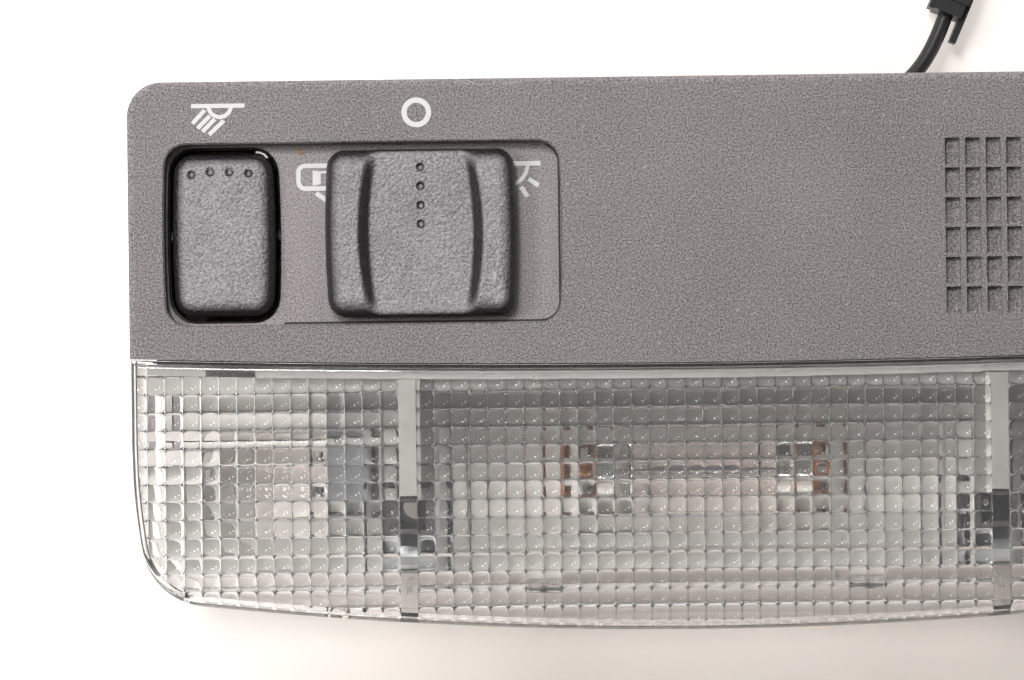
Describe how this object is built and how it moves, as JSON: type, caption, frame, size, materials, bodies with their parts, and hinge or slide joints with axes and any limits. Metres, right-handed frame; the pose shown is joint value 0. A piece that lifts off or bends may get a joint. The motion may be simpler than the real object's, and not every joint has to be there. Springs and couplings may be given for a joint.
{
  "type": "car dome light",
  "caption": "Overhead car interior light with a pillow-cell lens over map and dome lamps, rocker switches, a slide switch and a microphone grille with a plugged lead.",
  "frame": {"origin": "centre of the unit's outline, on the plane of the carrier's roof side, on which it lies", "axes": "+X to the right of the face, +Y from the lens edge to the switch edge, +Z out of the face towards the cabin"},
  "size_m": [0.2004, 0.1266, 0.0388],
  "materials": {
    "housing_plastic": "fine-grained moulded plastic",
    "knob_plastic": "leather-grained moulded plastic",
    "lens_clear": "clear moulded polycarbonate with pillow cells",
    "reflector_silver": "satin silver coating",
    "carrier_white": "off-white moulded plastic",
    "black_plastic": "black moulded plastic",
    "black_rubber": "black rubber",
    "brass": "stamped brass",
    "copper": "stamped copper alloy",
    "spring_steel": "rolled spring steel",
    "screw_steel": "zinc-plated steel",
    "capsule_metal": "satin aluminium",
    "bulb_glass": "clear glass",
    "bulb_cap": "nickel-plated",
    "filament": "tungsten",
    "holder_grey": "grey heat-resistant plastic",
    "lead_jacket": "black jacket"
  },
  "bodies": {
    "unit": {"housing": "housing_plastic", "lens": "lens_clear", "reflector": "reflector_silver", "carrier": "carrier_white", "connector_shroud": "black_plastic", "supply_strip": "brass", "ground_strip": "brass", "door_strip": "brass", "left_lamp_strip": "brass", "right_lamp_strip": "brass", "rocker_frame_left": "carrier_white", "rocker_frame_right": "carrier_white", "rocker_contact_left": "brass", "rocker_contact_right": "brass", "slide_rail": "carrier_white", "detent_ball": "spring_steel", "detent_spring": "spring_steel", "microphone_capsule": "capsule_metal", "microphone_holder": "black_rubber", "carrier_screws": "screw_steel", "retaining_spring_left": "spring_steel", "retaining_spring_right": "spring_steel", "dome_bulb_glass": "bulb_glass", "dome_bulb_cap_left": "bulb_cap", "dome_bulb_cap_right": "bulb_cap", "dome_bulb_filament": "filament", "dome_contact_left": "copper", "dome_contact_right": "copper", "map_bulb_left": "bulb_glass", "map_bulb_right": "bulb_glass", "map_holder_left": "holder_grey", "map_holder_right": "holder_grey", "lead_clip": "black_plastic", "microphone_lead": "lead_jacket", "lead_plug": "black_plastic", "plug_pins": "brass"},
    "left_rocker": {"map_rocker_left": "knob_plastic"},
    "right_rocker": {"map_rocker_right": "knob_plastic"},
    "slider": {"slide_knob": "knob_plastic", "slide_wiper": "brass"}
  },
  "joints": [
    {"name": "slide_switch", "type": "slide", "parent": "unit", "child": "slider", "axis": [1, 0, 0], "range_m": [-0.007, 0.007]},
    {"name": "left_map_switch", "type": "hinge", "parent": "unit", "child": "left_rocker", "pos_m": [-0.0835, 0.0215, 0.0281], "axis": [1, 0, 0], "range_deg": [-6, 0]},
    {"name": "right_map_switch", "type": "hinge", "parent": "unit", "child": "right_rocker", "pos_m": [0.0835, 0.0215, 0.0281], "axis": [1, 0, 0], "range_deg": [-6, 0]}
  ]
}
